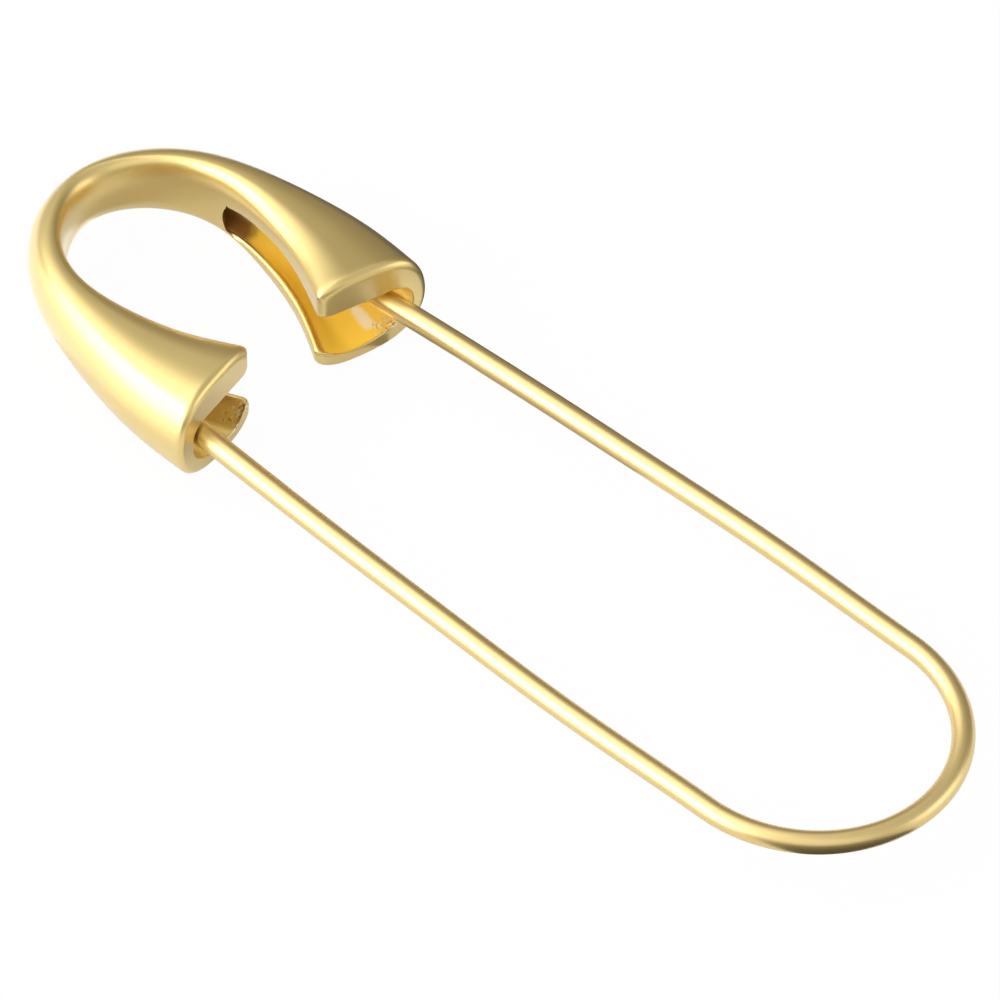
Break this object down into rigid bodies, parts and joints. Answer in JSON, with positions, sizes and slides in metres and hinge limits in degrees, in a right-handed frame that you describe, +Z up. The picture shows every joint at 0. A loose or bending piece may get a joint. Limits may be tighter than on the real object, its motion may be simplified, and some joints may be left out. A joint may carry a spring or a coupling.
{
  "type": "brooch pin",
  "caption": "Sprung U-shaped wire pin closed by a hollow horseshoe clasp head with flared, open-sided ends; the pointed leg squeezes inward to leave its channel.",
  "frame": {"origin": "middle of the footprint, on the plane that the clasp head's underside reaches", "axes": "+X from the clasp head's crown to the bend of the wire, +Y towards the arm that holds the free leg, +Z up, square to the plane of the wire"},
  "size_m": [0.0604, 0.0172, 0.006],
  "materials": {
    "satin_gold": "fine matte gold plating",
    "wire_gold": "satin gold plating on spring wire"
  },
  "bodies": {
    "clasp": {"clasp_head": "satin_gold", "pin_fixed_leg": "wire_gold"},
    "free_leg": {"pin_free_leg": "wire_gold"}
  },
  "joints": [
    {"name": "pin_spring", "type": "hinge", "parent": "clasp", "child": "free_leg", "pos_m": [0.0268, -0.00023, 0.00299], "axis": [0, 0, 1], "range_deg": [0, 10], "stiffness_Nm_per_rad": 0.3}
  ]
}
